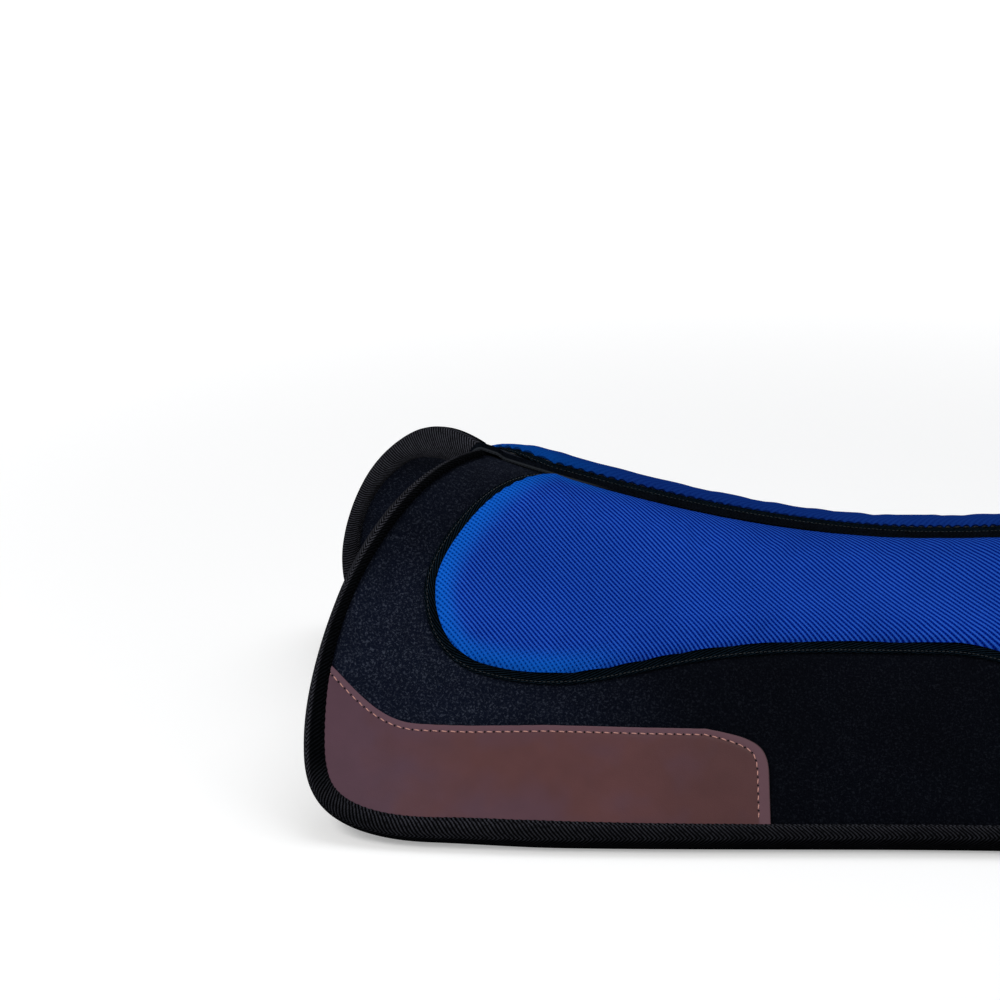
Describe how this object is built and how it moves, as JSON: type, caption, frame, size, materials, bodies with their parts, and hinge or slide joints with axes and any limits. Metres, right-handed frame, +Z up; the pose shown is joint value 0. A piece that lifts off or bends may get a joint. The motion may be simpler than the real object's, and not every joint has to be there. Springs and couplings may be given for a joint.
{
  "type": "western saddle pad",
  "caption": "Contoured western saddle pad: two layered felt sides joined along a dipped spine, with bound kidney cushions, leather wear patches and a thick rolled edge tape.",
  "frame": {"origin": "centre of the bounding box's base, on the surface that the pad stands on", "axes": "+X from the withers end to the loin end, -Y to the horse's left side, +Z up"},
  "size_m": [0.9843, 0.637, 0.3061],
  "materials": {
    "felt": "heathered charcoal felt, matt",
    "foam": "closed-cell foam, matt",
    "mesh": "blue spacer mesh, soft sheen",
    "tape": "black woven tape",
    "leather": "smooth brown leather, semi-gloss"
  },
  "bodies": {
    "spine": {"spine_strap": "tape", "spine_liner": "tape"},
    "left_side": {"left_felt_top": "felt", "left_foam_core": "foam", "left_felt_lining": "felt", "left_edge_binding": "tape", "left_mesh_insert": "mesh", "left_insert_foam": "foam", "left_insert_binding": "tape", "left_wear_leather": "leather"},
    "right_side": {"right_felt_top": "felt", "right_foam_core": "foam", "right_felt_lining": "felt", "right_edge_binding": "tape", "right_mesh_insert": "mesh", "right_insert_foam": "foam", "right_insert_binding": "tape", "right_wear_leather": "leather"}
  },
  "joints": [
    {"name": "left_fold", "type": "hinge", "parent": "spine", "child": "left_side", "pos_m": [0, 0, 0.23672], "axis": [-0.9967, 0, 0.0807], "range_deg": [-10, 10], "stiffness_Nm_per_rad": 80, "deforming": ["spine_strap", "spine_liner"]},
    {"name": "right_fold", "type": "hinge", "parent": "spine", "child": "right_side", "pos_m": [0, 0, 0.23672], "axis": [0.9967, 0, -0.0807], "range_deg": [-10, 10], "stiffness_Nm_per_rad": 80, "deforming": ["spine_strap", "spine_liner"]}
  ]
}
